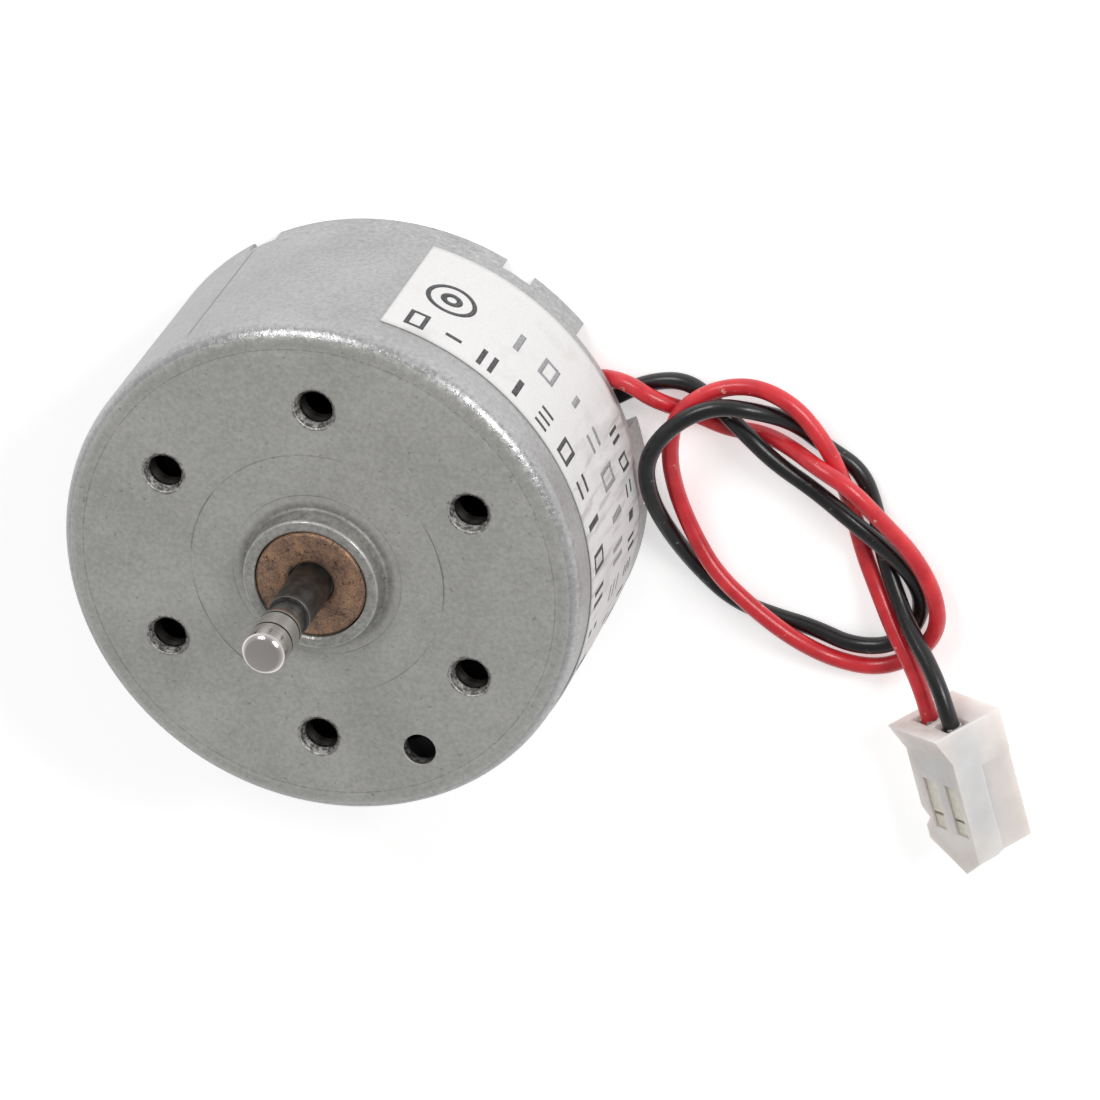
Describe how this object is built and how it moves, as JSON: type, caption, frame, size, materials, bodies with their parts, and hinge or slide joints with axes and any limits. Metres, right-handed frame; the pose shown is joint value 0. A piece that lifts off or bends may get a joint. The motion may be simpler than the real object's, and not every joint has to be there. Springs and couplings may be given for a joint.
{
  "type": "brushed dc motor",
  "caption": "Short cylindrical brushed DC motor with a bearing boss, a face bolt circle, an output shaft, a paper label, and knotted leads to a crimp connector.",
  "frame": {"origin": "centre of the can's rear rim, on the plane that the motor stands on", "axes": "+Z along the shaft towards its free end; the leads leave the rear rim near +X, 30 degrees towards +Y"},
  "size_m": [0.0656, 0.042, 0.0305],
  "materials": {
    "can_steel": "drawn zinc-plated steel, matt warm grey",
    "sintered_bronze": "oil-soaked sintered bronze, mottled",
    "shaft_steel": "ground bright steel",
    "ferrite": "dark grey bonded ferrite",
    "spring_steel": "blued spring steel",
    "plate_steel": "zinc-plated steel plate",
    "cap_plastic": "black moulded plastic",
    "nylon": "natural nylon",
    "brass": "brass strip",
    "fibre_board": "brown fibre board",
    "solder": "tin solder",
    "carbon": "carbon and copper brush",
    "spring_bronze": "phosphor bronze leaf",
    "label_paper": null,
    "core_steel": "laminated electrical steel",
    "insulator_plastic": "dark brown moulded insulator",
    "copper_wire": "enamelled copper wire",
    "phenolic": "brown phenolic",
    "copper": "commutator copper",
    "varistor_ceramic": "dark varistor ceramic",
    "red_pvc": "red PVC insulation",
    "black_pvc": "black PVC insulation",
    "housing_nylon": "ivory nylon",
    "tinned_contact": "tin-plated contact"
  },
  "bodies": {
    "stator": {"can": "can_steel", "front_bush": "sintered_bronze", "magnet_north": "ferrite", "magnet_south": "ferrite", "magnet_clip_1": "spring_steel", "magnet_clip_2": "spring_steel", "rear_plate": "plate_steel", "end_cap": "cap_plastic", "thrust_disc": "nylon", "rear_bush": "sintered_bronze", "terminal_red": "brass", "terminal_black": "brass", "terminal_board": "fibre_board", "solder_red": "solder", "solder_black": "solder", "brush_1": "carbon", "brush_2": "carbon", "brush_arm_1": "spring_bronze", "brush_arm_2": "spring_bronze", "label": "label_paper", "red_lead": "red_pvc", "black_lead": "black_pvc", "connector_housing": "housing_nylon", "contact_red": "tinned_contact", "contact_black": "tinned_contact"},
    "rotor": {"shaft": "shaft_steel", "rotor_core": "core_steel", "insulator_rear": "insulator_plastic", "insulator_front": "insulator_plastic", "coil_1": "copper_wire", "coil_2": "copper_wire", "coil_3": "copper_wire", "commutator_hub": "phenolic", "commutator_segment_1": "copper", "commutator_segment_2": "copper", "commutator_segment_3": "copper", "varistor_ring": "varistor_ceramic", "front_spacer": "nylon", "rear_spacer": "nylon", "core_spacer": "nylon"}
  },
  "joints": [
    {"name": "shaft_spin", "type": "hinge", "parent": "stator", "child": "rotor", "pos_m": [0, 0, 0], "axis": [0, 0, 1], "continuous": true}
  ]
}
